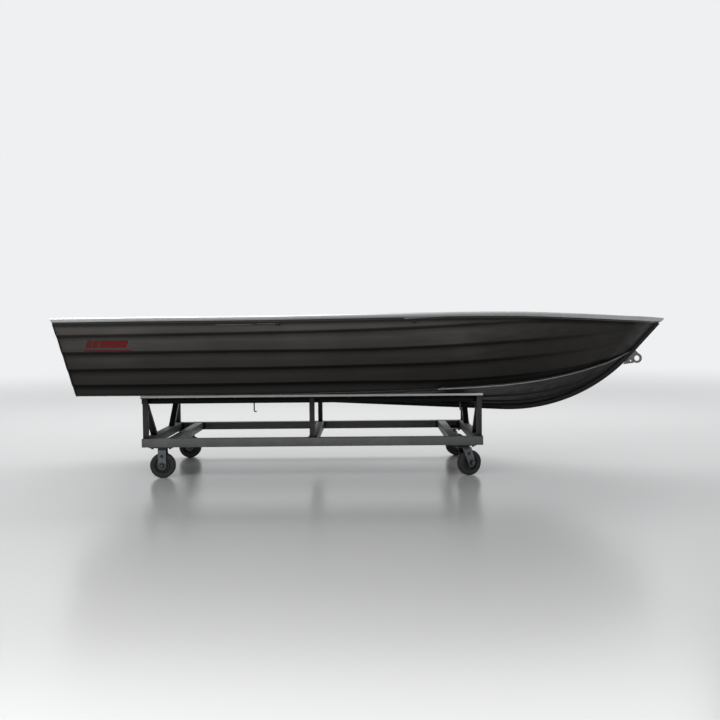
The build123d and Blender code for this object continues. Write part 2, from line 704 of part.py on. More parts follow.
def axle_solid(end_x):
    """A bolt through both fork legs, with its six-sided head and nut."""
    head = 7.5
    reach = fork_gap / 2 + fork_wall + seat_gap
    solid = Solid.make_cylinder(axle_radius, 2 * reach, at_axle(end_x, -reach))
    for start in (-reach - head, reach):
        solid = solid + extrude(at_axle(end_x, start) * RegularPolygon(9.8, 6), head)
    return one(solid)


def revolved(points, end_x):
    """A ring of revolution about the axle, from (radius, place along the axle) points."""
    wire = Wire.make_polygon([Vector(end_x + r, y, wheel_radius) for r, y in points], close=True)
    axis = Axis((end_x, 0, wheel_radius), (0, 1, 0))
    return Solid.revolve(Face(wire), 360, axis)


def tyre_solid(end_x):
    """A solid tyre, flat on its tread and sides."""
    half = wheel_width / 2
    points = [(rim_radius, half), (wheel_radius, half), (wheel_radius, -half), (rim_radius, -half)]
    return revolved(points, end_x)


def hub_solid(end_x):
    """A wheel centre: a boss on the axle, a web that thins outwards and a rim inside the tyre."""
    bore = axle_radius + bore_clearance
    boss = fork_gap / 2 - seat_gap
    points = [(bore, boss), (17.0, boss), (17.0, hub_web / 2), (rim_radius, hub_web / 2)]
    return revolved(points + [(r, -y) for r, y in points[::-1]], end_x)


boat_nodes = {
    "side_panel_port": [side_panel], "side_panel_stbd": [side_panel.mirror(Plane.XZ)],
    "bottom_panel_port": [bottom_panel], "bottom_panel_stbd": [bottom_panel.mirror(Plane.XZ)],
    "gunwale_port": [gunwale], "gunwale_stbd": [gunwale.mirror(Plane.XZ)],
    "spray_rails": both(spray_rail), "keel_strip": [keel_strip], "stem_bar": [stem_bar],
    "bow_eye": [bow_eye], "transom": [transom], "transom_cap": [cap], "clamp_pads": [inner_pad, outer_pad],
    "transom_knees": both(knee), "corner_knees": both(corner_knee),
    "floor_ribs": [rib(start) for start in RIB_STARTS], "bow_deck": [bow_deck],
    "rowlock_blocks": [half for block in rowlock_blocks for half in both(block)],
}
for name, start, top in BENCHES:
    boat_nodes[name] = [bench(start, top)]
for name, solids in boat_nodes.items():
    write_boat(name, *solids)

write("bottom_rails", *bottom_rails)
write("cross_members", *members)
write("posts", *posts)
write("braces", *braces)
write("angle_rails", *angle_rails)
write("bunk_strips", *bunk_strips)
write("lashing_hooks", *lashing_hooks)
write("caster_plates", *caster_plates)

sides = (("port", 1), ("stbd", -1))
stern_at = {name: Location((stern_axle_x, side * caster_track, 0)) for name, side in sides}
write("stern_forks", *[fork(plate_low, 0, fork_leg, 0).moved(place) for place in stern_at.values()])
write("stern_axles", *[axle_solid(0).moved(place) for place in stern_at.values()])
for name, side in sides:
    write(f"stern_tyre_{name}", tyre_solid(0).moved(stern_at[name]))
    write(f"stern_hub_{name}", hub_solid(0).moved(stern_at[name]))

# A swivel fork carries a ball race that turns under its plate, and the kingpin in the plate's bore
web_high = plate_low - race_gap - race_height
for name, side in sides:
    swivel_at = Location((swivel_x, side * caster_track, 0), (0, 0, swivel_yaw[name]))
    swivel = fork(web_high, swivel_shift, swivel_top, swivel_trail)
    swivel += Solid.make_cylinder(race_radius, race_height, Plane((0, 0, web_high)))
    swivel += Solid.make_cylinder(kingpin_radius, caster_height - 1 - web_high, Plane((0, 0, web_high)))
    write(f"bow_fork_{name}", one(swivel).moved(swivel_at))
    write(f"bow_axle_{name}", axle_solid(swivel_trail).moved(swivel_at))
    write(f"bow_tyre_{name}", tyre_solid(swivel_trail).moved(swivel_at))
    write(f"bow_hub_{name}", hub_solid(swivel_trail).moved(swivel_at))
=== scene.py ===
from math import cos, pi, radians, sin

import bpy
from mathutils import Matrix, Vector


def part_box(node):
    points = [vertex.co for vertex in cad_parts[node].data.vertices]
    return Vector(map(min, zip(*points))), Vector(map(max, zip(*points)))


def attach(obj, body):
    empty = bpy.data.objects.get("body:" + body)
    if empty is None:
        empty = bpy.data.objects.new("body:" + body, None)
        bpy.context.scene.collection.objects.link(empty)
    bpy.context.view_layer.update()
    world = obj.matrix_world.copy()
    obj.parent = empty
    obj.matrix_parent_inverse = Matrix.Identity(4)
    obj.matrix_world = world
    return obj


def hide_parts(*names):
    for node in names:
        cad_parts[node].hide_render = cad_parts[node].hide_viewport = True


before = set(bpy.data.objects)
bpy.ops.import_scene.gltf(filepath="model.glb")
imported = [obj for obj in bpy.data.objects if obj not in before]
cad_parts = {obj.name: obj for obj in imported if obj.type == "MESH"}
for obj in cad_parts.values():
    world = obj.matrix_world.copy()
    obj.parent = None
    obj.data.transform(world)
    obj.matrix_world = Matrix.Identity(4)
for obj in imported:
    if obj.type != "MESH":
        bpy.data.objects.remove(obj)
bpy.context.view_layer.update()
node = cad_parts
scene = bpy.context.scene


# Bottom and side sheets: four pressings of 2 mm marine aluminium, stiffened by four stepped planks
# on each side. The mill finish is dull and dark, faintly streaked along the sheet where it was
# rolled, with smudges from handling and the slight waves of thin pressed plate.
class Finish:
    """A procedural material on the piece's own coordinates, built up one node at a time."""

    noise_low, noise_high = 0.3, 0.7    # where nearly all of the noise lies
    corner_samples = 32
    corner_shade = 0.28                 # share of its colour that the painted shade leaves in a closed corner

    def __init__(self, name, metallic, roughness):
        self.material = bpy.data.materials.new(name)
        self.material.use_nodes = True
        self.tree = self.material.node_tree
        self.shader = self.tree.nodes["Principled BSDF"]
        self.shader.inputs["Metallic"].default_value = metallic
        self.shader.inputs["Roughness"].default_value = roughness
        self.place = self.tree.nodes.new("ShaderNodeTexCoord").outputs["Object"]
        self.bump = None

    def grain(self, scale, stretch=(1, 1, 1), detail=4.0):
        """Noise with so many cells a metre, drawn out along an axis by a small stretch."""
        mapping = self.tree.nodes.new("ShaderNodeMapping")
        mapping.inputs["Scale"].default_value = stretch
        self.tree.links.new(self.place, mapping.inputs["Vector"])
        noise = self.tree.nodes.new("ShaderNodeTexNoise")
        noise.inputs["Scale"].default_value = scale
        noise.inputs["Detail"].default_value = detail
        self.tree.links.new(mapping.outputs["Vector"], noise.inputs["Vector"])
        return noise.outputs["Fac"]

    def rise(self, axis, low, high, least=0.0):
        """Goes from a least value to 1 between two places along an axis."""
        place = self.tree.nodes.new("ShaderNodeSeparateXYZ")
        self.tree.links.new(self.place, place.inputs["Vector"])
        ranged = self.tree.nodes.new("ShaderNodeMapRange")
        ranged.inputs["From Min"].default_value = low
        ranged.inputs["From Max"].default_value = high
        ranged.inputs["To Min"].default_value = least
        self.tree.links.new(place.outputs[axis], ranged.inputs["Value"])
        return ranged.outputs["Result"]

    def times(self, first, second):
        """One value scaled by another."""
        product = self.tree.nodes.new("ShaderNodeMath")
        product.operation = "MULTIPLY"
        self.tree.links.new(first, product.inputs[0])
        self.tree.links.new(second, product.inputs[1])
        return product.outputs["Value"]

    def blend(self, first, second, share):
        """Two values mixed, with so large a share of the second."""
        mix = self.tree.nodes.new("ShaderNodeMix")
        mix.inputs["Factor"].default_value = share
        self.tree.links.new(first, mix.inputs["A"])
        self.tree.links.new(second, mix.inputs["B"])
        return mix.outputs["Result"]

    def steps(self, value, stops):
        """A colour for each level of a value; the stops are (level, colour)."""
        ramp = self.tree.nodes.new("ShaderNodeValToRGB")
        elements = ramp.color_ramp.elements
        while len(elements) < len(stops):
            elements.new(1.0)
        for element, (level, colour) in zip(elements, stops):
            element.position = level
            element.color = (*colour, 1)
        self.tree.links.new(value, ramp.inputs["Fac"])
        return ramp.outputs["Color"]

    def colour(self, value, stops, crease=None, open_share=0.90):
        """Colours the surface; crease gives the reach in metres of the painted shade in its corners, which
        is whole where less than the open share of the surroundings is free."""
        colour = self.steps(value, stops)
        if crease:
            # Painted shade: the colour is darkened where nearby surfaces hide a point, in corners and
            # creases.
            corners = self.tree.nodes.new("ShaderNodeAmbientOcclusion")
            corners.samples = self.corner_samples
            corners.inputs["Distance"].default_value = crease
            painted_corner_shade = self.tree.nodes.new("ShaderNodeMapRange")
            painted_corner_shade.inputs["From Min"].default_value = open_share
            painted_corner_shade.inputs["To Min"].default_value = self.corner_shade
            self.tree.links.new(corners.outputs["AO"], painted_corner_shade.inputs["Value"])
            darker = self.tree.nodes.new("ShaderNodeVectorMath")
            darker.operation = "SCALE"
            self.tree.links.new(colour, darker.inputs[0])
            self.tree.links.new(painted_corner_shade.outputs["Result"], darker.inputs["Scale"])
            colour = darker.outputs["Vector"]
        self.tree.links.new(colour, self.shader.inputs["Base Color"])

    def rough(self, value, low, high):
        """Roughness between a low and a high figure, as the noise goes."""
        ranged = self.tree.nodes.new("ShaderNodeMapRange")
        ranged.inputs["From Min"].default_value = self.noise_low
        ranged.inputs["From Max"].default_value = self.noise_high
        ranged.inputs["To Min"].default_value = low
        ranged.inputs["To Max"].default_value = high
        self.tree.links.new(value, ranged.inputs["Value"])
        self.tree.links.new(ranged.outputs["Result"], self.shader.inputs["Roughness"])

    def relief(self, value, depth, strength=1.0):
        """Adds a bump of that depth in metres over those added before it."""
        bump = self.tree.nodes.new("ShaderNodeBump")
        bump.inputs["Distance"].default_value = depth
        bump.inputs["Strength"].default_value = strength
        self.tree.links.new(value, bump.inputs["Height"])
        if self.bump:
            self.tree.links.new(self.bump, bump.inputs["Normal"])
        self.bump = bump.outputs["Normal"]
        self.tree.links.new(self.bump, self.shader.inputs["Normal"])


sheet_tint, sheet_glance = (1.0, 0.95, 0.88), (0.65, 0.65, 0.65, 1)
sheet_levels = ((0.18, 0.023), (0.32, 0.030), (0.41, 0.034), (0.52, 0.043), (0.64, 0.068),
                (0.77, 0.112), (0.90, 0.145))
hull_foot, hull_top = 0.42, 0.95
bow_tip, bow_start, bow_share = 1.6, 0.5, 0.46


def mill_aluminium(name="mill_aluminium", dark=1.0):
    """Dark rolled sheet, with painted light that makes it paler towards the gunwale and away from the bow.
    """
    finish = Finish(name, 0.85, 0.42)
    finish.shader.inputs["Specular Tint"].default_value = sheet_glance
    smudges = finish.grain(3.0, detail=6.0)
    rolled = finish.grain(30.0, (0.05, 1, 1), 6.0)
    # Painted light: paler up the side and away from the bow, as the light falls on the hull.
    along = finish.rise("X", bow_tip, bow_start, bow_share)
    painted_light = finish.times(finish.rise("Z", hull_foot, hull_top), along)
    tone = finish.blend(finish.blend(smudges, rolled, 0.5), painted_light, 0.66)
    stops = [(place, [dark * level * part for part in sheet_tint]) for place, level in sheet_levels]
    finish.colour(tone, stops, crease=0.038, open_share=0.965)
    finish.rough(rolled, 0.36, 0.50)
    finish.relief(finish.grain(1.7, (0.6, 1, 1), 1.0), 0.002, 0.4)
    finish.relief(finish.grain(900.0, (0.2, 1, 1), 2.0), 0.0001, 0.4)
    return finish.material


def only(piece):
    """Selects one piece and nothing else."""
    bpy.ops.object.select_all(action="DESELECT")
    piece.select_set(True)
    bpy.context.view_layer.objects.active = piece


def dress(piece, material, body="root"):
    """Gives a piece its finish and the body that it rides on."""
    piece.data.materials.clear()
    piece.data.materials.append(material)
    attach(piece, body)


merge_reach = 0.00003     # corners of the CAD's loose triangles this near are one corner
flat_angle = 0.5          # degrees between faces that count as one flat face before rounding
rounding_steps = 3


def skin(name, node_name, crease, material, body="root", rounding=0.0):
    """A CAD node's surface merged into one skin, smooth but for its creases, in the node's place."""
    piece = bpy.data.objects.new(name, node[node_name].data.copy())
    scene.collection.objects.link(piece)
    only(piece)
    bpy.ops.object.mode_set(mode="EDIT")
    bpy.ops.mesh.select_all(action="SELECT")
    bpy.ops.mesh.remove_doubles(threshold=merge_reach)
    if rounding:
        bpy.ops.mesh.dissolve_limited(angle_limit=radians(flat_angle))
    bpy.ops.object.mode_set(mode="OBJECT")
    if piece.data.has_custom_normals:
        bpy.ops.mesh.customdata_custom_splitnormals_clear()
    if rounding:
        bevel = piece.modifiers.new("rounding", "BEVEL")
        bevel.width = rounding
        bevel.segments = rounding_steps
        bevel.limit_method = "ANGLE"
        bevel.angle_limit = radians(crease)
        bpy.ops.object.modifier_apply(modifier="rounding")
    bpy.ops.object.shade_smooth_by_angle(angle=radians(crease))
    dress(piece, material, body)
    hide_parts(node_name)
    return piece


def darken(piece, material, chosen):
    """Paints shade on the faces that a test picks with a darker copy of a finish, with a hard edge round
    them.
    """
    piece.data.materials.append(material)
    for face in piece.data.polygons:
        face.select = chosen(face)
        face.material_index = int(face.select)
    only(piece)
    bpy.ops.object.mode_set(mode="EDIT")
    bpy.ops.mesh.select_mode(type="FACE")
    bpy.ops.mesh.region_to_loop()
    bpy.ops.mesh.mark_sharp()
    bpy.ops.object.mode_set(mode="OBJECT")


hull, fold = mill_aluminium(), mill_aluminium("shaded_fold", 0.72)
bottom_shade = mill_aluminium("shaded_bottom_aluminium", 0.27)
sides = {"port": 1, "stbd": -1}
plank_crease = 17
outer_turn = 0.3          # least outward part of a normal on the sheet's outer side
plank_reach = 0.12        # how far along the hull the planks about a face are averaged
step_dip = 0.12           # how much more than they do a fold looks down

for side, outward in sides.items():
    sheet = skin(f"side_sheet_{side}", f"side_panel_{side}", plank_crease, hull)
    faces = [face for face in sheet.data.polygons if face.normal.y * outward > outer_turn]
    # Painted shade: the folds that look down further than the planks about them get the darker shaded_fold
    # finish.
    folds = set()
    for face in faces:
        near = [other for other in faces if abs(other.center.x - face.center.x) < plank_reach]
        middle = sum(other.normal.z * other.area for other in near) / sum(other.area for other in near)
        if face.normal.z < middle - step_dip:
            folds.add(face.index)
    darken(sheet, fold, lambda face: face.index in folds)
    bottom = skin(f"bottom_sheet_{side}", f"bottom_panel_{side}", plank_crease, hull)
    # Painted shade: the faces that look down get a much darker copy of the sheet's finish.
    darken(bottom, bottom_shade, lambda face: face.normal.z < 0)


# Side flash: a plain slanting block and a thin line of red vinyl film on the second plank, near the
# stern on both sides, laid over the sheet and following its flare.
flash_aft, flash_fore = -1.655, -1.405
flash_blocks = ((0.0, 0.030), (0.040, 0.030), (0.080, 0.155))
block_heights, block_slant = (0.788, 0.826), 0.015
line_reach, line_heights, line_slant = (flash_aft - 0.008, flash_fore + 0.010), (0.764, 0.771), 0.003
film_thick, film_cuts = 0.0004, 12
film_start = 0.9          # half-breadth at which a film lies before it is laid on the side


def red_vinyl():
    finish = Finish("red_vinyl", 0.0, 0.45)
    finish.shader.inputs["Specular IOR Level"].default_value = 0.2
    finish.colour(finish.grain(40.0), [(0.3, (0.105, 0.006, 0.007)), (0.7, (0.145, 0.008, 0.009))])
    return finish.material


def film(name, side, x_range, z_range, slant, material):
    """A four-sided piece of film on one side sheet; slant is how far its top lies ahead of its foot."""
    middle_x, middle_z = sum(x_range) / 2, sum(z_range) / 2
    bpy.ops.mesh.primitive_plane_add(size=1, location=(0, 0, 0), rotation=(pi / 2, 0, 0))
    piece = bpy.context.object
    piece.name = name
    piece.scale = (x_range[1] - x_range[0], z_range[1] - z_range[0], 1)
    piece.location = (middle_x, film_start * sides[side], middle_z)
    bpy.ops.object.transform_apply(location=True, rotation=True, scale=True)
    for corner in piece.data.vertices:
        if corner.co.z > middle_z:
            corner.co.x += slant
    bpy.ops.object.mode_set(mode="EDIT")
    bpy.ops.mesh.select_all(action="SELECT")
    bpy.ops.mesh.subdivide(number_cuts=film_cuts)
    bpy.ops.object.mode_set(mode="OBJECT")
    wrap = piece.modifiers.new("wrap", "SHRINKWRAP")
    wrap.target = bpy.data.objects[f"side_sheet_{side}"]
    wrap.wrap_method = "PROJECT"
    wrap.use_project_x = False
    wrap.use_project_y = True
    wrap.use_negative_direction = True
    wrap.use_positive_direction = True
    wrap.offset = film_thick
    bpy.ops.object.modifier_apply(modifier="wrap")
    dress(piece, material)


red = red_vinyl()
for side in sides:
    for number, (start, width) in enumerate(flash_blocks):
        x_range = (flash_aft + start, flash_aft + start + width)
        film(f"flash_block_{number}_{side}", side, x_range, block_heights, block_slant, red)
    film(f"flash_line_{side}", side, line_reach, line_heights, line_slant, red)


# Left-over film: the torn edge of the sheet's clear protective film, a thin pale line in three
# lengths under the starboard gunwale.
torn_edges = (((-0.900, -0.770), 0.9095), ((-0.765, -0.690), 0.9108), ((-0.665, -0.560), 0.9135))
torn_width, torn_slant = 0.0025, 0.004


def clear_film():
    finish = Finish("clear_film", 0.0, 0.3)
    finish.colour(finish.grain(60.0, (0.2, 1, 1)), [(0.3, (0.10, 0.10, 0.095)), (0.7, (0.22, 0.22, 0.21))])
    return finish.material


torn = clear_film()
for number, (x_range, foot) in enumerate(torn_edges):
    film(f"film_edge_{number}", "stbd", x_range, (foot, foot + torn_width), torn_slant, torn)


# Extrusions and bars: the gunwale, the spray rails and the transom's cap are brighter extruded aluminium,
# satin, with fine die lines along their length; the keel and stem bars are flat bar in the sheets' mill
# finish, the stem bar's paler.
bar_glance = (0.7, 0.7, 0.7, 1)


def extruded_aluminium(name="extruded_aluminium", dark=1.0):
    finish = Finish(name, 0.8, 0.32)
    finish.shader.inputs["Specular Tint"].default_value = bar_glance
    lines = finish.grain(240.0, (0.01, 1, 1), 3.0)
    stops = [(0.3, [0.52 * dark] * 3), (0.7, [0.68 * dark] * 3)]
    finish.colour(finish.blend(lines, finish.grain(6.0), 0.4), stops, crease=0.03)
    finish.rough(lines, 0.26, 0.38)
    finish.relief(lines, 0.00015, 0.5)
    return finish.material


extrusion = extruded_aluminium()
underside = extruded_aluminium("shaded_underside", 0.22)
gunwale_crease, rail_crease, bar_crease = 35, 25, 30
lip_rise = 0.024          # the gunwale is shaded from this far under its top
looks_up, looks_down = 0.95, -0.9

for side in sides:
    gunwale = skin(f"gunwale_bar_{side}", f"gunwale_{side}", gunwale_crease, extrusion)
    tops = [face.center for face in gunwale.data.polygons if face.normal.z > looks_up]
    darken(gunwale, underside, lambda face: face.normal.z < looks_down or face.center.z + lip_rise
           < min(tops, key=lambda top: abs(top.x - face.center.x)).z)
skin("spray_rail_bars", "spray_rails", rail_crease, extruded_aluminium("dull_rail", 0.58))
skin("transom_cap_bar", "transom_cap", rail_crease, extrusion)
skin("keel_bar", "keel_strip", bar_crease, hull)
skin("stem_bar_smooth", "stem_bar", bar_crease, mill_aluminium("bar_aluminium", 3.2))


# Transom and its knees, benches, floor ribs and bow deck: flat and folded 2 to 4 mm sheet in the
# same mill finish, welded into the hull.
benches = ("aft_bench", "middle_bench", "bow_bench")
plate_crease, bench_crease = 25, 20
for name in ("transom", "transom_knees", "corner_knees", "floor_ribs", "bow_deck"):
    skin(f"{name}_sheet", name, plate_crease, hull)
for name in benches:
    skin(f"{name}_fold", name, bench_crease, hull)


# Hull welds: MIG beads in bright ripples down both chines, both sides of the keel and stem bars and
# round the transom, and short stitches on the spray rails, benches, knees and deck.
def weld_metal():
    finish = Finish("weld_metal", 0.85, 0.36)
    heat = finish.grain(90.0, detail=5.0)
    finish.colour(heat, [(0.3, (0.036, 0.034, 0.031)), (0.7, (0.090, 0.088, 0.083))])
    finish.relief(finish.grain(700.0), 0.0002, 0.4)
    return finish.material


def even(start, end, count):
    """Evenly spaced places from a start to an end."""
    return [start + (end - start) * number / (count - 1) for number in range(count)]


def corner_line(piece, stations, score, axis=0):
    """The best-scoring point of a piece's surface at each station along an axis."""
    ends = [[piece.data.vertices[end].co for end in edge.vertices] for edge in piece.data.edges]
    line = []
    for station in stations:
        cuts = [one.lerp(other, (station - one[axis]) / (other[axis] - one[axis]))
                for one, other in ends if (one[axis] - station) * (other[axis] - station) < 0]
        line.append(max(cuts, key=score))
    return line


def paced(line, pace):
    """Points at an even pace along a line of points."""
    points, left = [line[0]], pace
    for start, end in zip(line, line[1:]):
        length = (end - start).length
        while left <= length:
            points.append(start.lerp(end, left / length))
            left += pace
        left -= length
    return points


weld_pace, weld_crease = 0.004, 70
ripple = 0.78             # a bead's thin places, as a share of its thick ones


def bead(name, lines, radius, material, stitch=None):
    """Weld beads along lines, whole or in stitches of (length, gap), rippled as the torch moved."""
    bpy.ops.object.select_all(action="DESELECT")
    bpy.ops.curve.primitive_nurbs_path_add(location=(0, 0, 0))
    weld = bpy.context.object
    weld.name = name
    weld.data.splines.clear()
    for line in lines:
        points = paced([Vector(place) for place in line], weld_pace)
        run, gap = [round(part / weld_pace) for part in stitch] if stitch else (len(points), 1)
        for first in range(0, max(1, len(points) - run + 1), run + gap):
            spline = weld.data.splines.new("POLY")
            places = points[first:first + run]
            spline.points.add(len(places) - 1)
            for number, (point, place) in enumerate(zip(spline.points, places)):
                point.co = (*place, 1)
                point.radius = 1.0 if number % 2 else ripple
    weld.data.bevel_depth = radius
    weld.data.bevel_resolution = 1
    weld.data.use_fill_caps = True
    only(weld)
    bpy.ops.object.convert(target="MESH")
    bpy.ops.object.shade_smooth_by_angle(angle=radians(weld_crease))
    dress(weld, material)


hull_stations, rail_stations = even(-1.730, 1.612, 120), even(0.37, 1.60, 60)
transom_heights, transom_foot = even(0.515, 0.925, 30), even(0.015, 0.588, 30)
deck_stations, knee_heights = even(1.42, 1.76, 12), even(0.55, 0.84, 10)
bench_end = 0.03
other_side = -9           # a score that rules out the points on the boat's other side

transom, deck = bpy.data.objects["transom_sheet"], bpy.data.objects["bow_deck_sheet"]
spray_rails, knees = bpy.data.objects["spray_rail_bars"], bpy.data.objects["transom_knees_sheet"]
hull_lines, bench_lines, rail_lines, inner_lines = [], [], [], []
for side, outward in sides.items():
    bottom = bpy.data.objects[f"bottom_sheet_{side}"]
    hull_lines.append(corner_line(bottom, hull_stations, lambda p: outward * p.y))
    hull_lines.append(corner_line(bottom, hull_stations, lambda p: -40 * outward * p.y - p.z))
    hull_lines.append(corner_line(transom, transom_heights, lambda p: 3 * outward * p.y - p.x, axis=2))
    hull_lines.append(corner_line(transom, [outward * y for y in transom_foot],
                                  lambda p: -5 * p.z - p.x, axis=1))
    for rise in (1, -1):
        rail_lines.append(corner_line(spray_rails, rail_stations,
                                      lambda p: rise * p.z if outward * p.y > 0 else other_side))
    for name in benches:
        bench_stations = even(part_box(name)[0][0] + bench_end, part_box(name)[1][0] - bench_end, 10)
        bench_lines.append(corner_line(bpy.data.objects[f"{name}_fold"], bench_stations,
                                       lambda p: 3 * outward * p.y + p.z))
    inner_lines.append(corner_line(deck, deck_stations, lambda p: 3 * outward * p.y + p.z))
    inner_lines.append(corner_line(knees, knee_heights, lambda p: 0.1 * p.y * outward - p.x
                                   if outward * p.y > 0 else other_side, axis=2))

bright_weld = weld_metal()
for name, lines, radius, stitch in (("hull_welds", hull_lines, 0.0026, None),
                                    ("spray_rail_welds", rail_lines, 0.0019, (0.040, 0.110)),
                                    ("bench_welds", bench_lines, 0.0024, (0.032, 0.060)),
                                    ("deck_and_knee_welds", inner_lines, 0.0022, (0.028, 0.036))):
    bead(name, lines, radius, bright_weld, stitch)


# Floor rivets: round-headed stainless rivets down both flanges of each floor rib. As on every small
# fastening here, one head is turned and copied, each copy standing on the surface it is driven into.
turned_merge, turned_crease = 0.00002, 35
sunk = -0.001             # how far a fastening's foot lies under the surface


def turned(name, profile, steps=24):
    """A closed profile of (radius, height) points turned about Z."""
    bpy.ops.object.select_all(action="DESELECT")
    bpy.ops.mesh.primitive_circle_add(vertices=len(profile), radius=1, location=(0, 0, 0))
    piece = bpy.context.object
    piece.name = name
    for corner, (radius, height) in zip(piece.data.vertices, profile):
        corner.co = (radius, 0, height)
    bpy.ops.object.mode_set(mode="EDIT")
    bpy.ops.mesh.select_all(action="SELECT")
    bpy.ops.mesh.spin(steps=steps, angle=2 * pi, center=(0, 0, 0), axis=(0, 0, 1))
    bpy.ops.mesh.select_all(action="SELECT")
    bpy.ops.mesh.remove_doubles(threshold=turned_merge)
    bpy.ops.mesh.normals_make_consistent(inside=False)
    bpy.ops.object.mode_set(mode="OBJECT")
    bpy.ops.object.shade_smooth_by_angle(angle=radians(turned_crease))
    return piece


def facing(place, normal):
    """Where a copy stands whose foot is at a place and whose top looks along a normal."""
    return Matrix.Translation(place) @ Vector(normal).to_track_quat("Z", "Y").to_matrix().to_4x4()


def land(piece, start, direction):
    """Where a line from a start first meets a piece, facing along the surface's normal there."""
    place, normal = piece.ray_cast(Vector(start), Vector(direction))[1:3]
    return facing(place, normal)


def copies(model, stands, name, material, body="root"):
    """One copy of a model at each stand, joined as one piece."""
    bpy.ops.object.select_all(action="DESELECT")
    for stand in stands:
        piece = bpy.data.objects.new(name, model.data.copy())
        scene.collection.objects.link(piece)
        piece.matrix_world = stand
        piece.select_set(True)
    bpy.context.view_layer.objects.active = piece
    if len(stands) > 1:
        bpy.ops.object.join()
    bpy.ops.object.transform_apply(location=True, rotation=True, scale=True)
    dress(piece, material, body)


def used_up(*models):
    """Removes models once their copies are made."""
    for model in models:
        bpy.data.objects.remove(model)


def stainless_steel():
    finish = Finish("stainless_steel", 0.9, 0.3)
    finish.colour(finish.grain(300.0), [(0.3, (0.20, 0.20, 0.20)), (0.7, (0.30, 0.30, 0.295))])
    finish.relief(finish.grain(900.0), 0.0001, 0.4)
    return finish.material


stainless = stainless_steel()
rivet = turned("rivet", [(0, sunk), (0.0048, sunk), (0.0048, 0.0006), (0.0030, 0.0016), (0, 0.0020)], 10)
ribs = bpy.data.objects["floor_ribs_sheet"]
rib_starts, rib_flanges = (-1.4545, -0.7495, -0.4685, 0.2535, 0.5175), (0.0, 0.056)
rivet_rows, over_ribs = (0.06, 0.14, 0.22, 0.30), 0.75
stands = [land(ribs, (start + flange, outward * y, over_ribs), (0, 0, -1)) for start in rib_starts
          for flange in rib_flanges for y in rivet_rows for outward in sides.values()]
copies(rivet, stands, "floor_rib_rivets", stainless)
used_up(rivet)


# Bow eye and rowlock blocks: satin aluminium castings with a faint sand texture. The eye is on the
# stem, and each block is bolted through the side under the gunwale with one blackened bolt, whose black is
# partly painted shade.
def cast_aluminium():
    finish = Finish("cast_aluminium", 0.85, 0.42)
    sand = finish.grain(420.0, detail=3.0)
    finish.colour(finish.grain(25.0), [(0.3, (0.13, 0.13, 0.126)), (0.7, (0.19, 0.19, 0.184))])
    finish.relief(sand, 0.0004, 0.5)
    return finish.material


def blackened_steel():
    finish = Finish("blackened_steel", 0.5, 0.45)
    finish.colour(finish.grain(260.0), [(0.3, (0.016, 0.016, 0.017)), (0.7, (0.035, 0.034, 0.033))])
    finish.relief(finish.grain(900.0), 0.0001, 0.4)
    return finish.material


cast, blackened = cast_aluminium(), blackened_steel()
cast_crease = 25
skin("bow_eye_casting", "bow_eye", cast_crease, cast)
skin("rowlock_castings", "rowlock_blocks", cast_crease, cast)

rowlock_bolt = turned("rowlock_bolt", [(0, 2 * sunk), (0.0090, 2 * sunk), (0.0090, 0.0010),
                                       (0.0075, 0.0028), (0.0045, 0.0042), (0, 0.0048)], 16)
block_places, beside = ((-0.545, 0.915), (0.215, 0.923)), 2.0
stands = [land(bpy.data.objects[f"side_sheet_{side}"], (x, beside * outward, z), (0, -outward, 0))
          for side, outward in sides.items() for x, z in block_places]
# Painted shade: the bolts' near-black colour is partly the shade under the gunwale.
copies(rowlock_bolt, stands, "rowlock_bolts", blackened)
used_up(rowlock_bolt)


# Motor pads: two boards of black film-faced plywood on the transom's lowered middle, clamped through
# it by eight stainless bolts, with round heads astern and six-sided nuts inboard.
def coated_plywood():
    finish = Finish("coated_plywood", 0.0, 0.5)
    film_marks = finish.grain(18.0, (1, 1, 0.3), 6.0)
    finish.colour(film_marks, [(0.35, (0.012, 0.011, 0.010)), (0.7, (0.030, 0.026, 0.022))])
    finish.rough(film_marks, 0.42, 0.6)
    finish.relief(finish.grain(700.0), 0.0002, 0.3)
    return finish.material


def hex_bolt(name, flats, washer):
    """A six-sided head, chamfered on top, on its round washer; its foot is at the origin."""
    thick, head = washer / 6, flats * 0.4
    piece = turned(name, [(0, sunk), (washer, sunk), (washer, thick * 0.8), (washer * 0.94, thick),
                          (0, thick)])
    bpy.ops.object.mode_set(mode="EDIT")
    bpy.ops.mesh.primitive_cylinder_add(vertices=6, radius=flats / 2 / cos(pi / 6), depth=head,
                                        location=(0, 0, thick + head / 2))
    bpy.ops.object.mode_set(mode="OBJECT")
    top = max(piece.data.polygons, key=lambda face: face.center.z)
    for face in piece.data.polygons:
        face.select = face.index == top.index
    bpy.ops.object.mode_set(mode="EDIT")
    bpy.ops.mesh.select_mode(type="FACE")
    bpy.ops.mesh.inset(thickness=flats * 0.07, depth=flats * 0.05)
    bpy.ops.object.mode_set(mode="OBJECT")
    return piece


pads = skin("motor_pads", "clamp_pads", 30, coated_plywood(), rounding=0.0025)
astern, inboard = -2.4, -1.3
pad_bolts = [(y, z) for y in (-0.155, -0.052, 0.052, 0.155) for z in (0.610, 0.815)]
carriage_bolt = turned("carriage_bolt", [(0, sunk), (0.0095, sunk), (0.0085, 0.0022), (0.0050, 0.0042),
                                         (0, 0.0050)], 16)
pad_nut = hex_bolt("pad_nut", 0.013, 0.012)
for model, start, ahead, name in ((carriage_bolt, astern, 1, "pad_bolt_heads"),
                                  (pad_nut, inboard, -1, "pad_bolt_nuts")):
    stands = [land(pads, (start, y, z), (ahead, 0, 0)) for y, z in pad_bolts]
    copies(model, stands, name, stainless)
used_up(carriage_bolt, pad_nut)


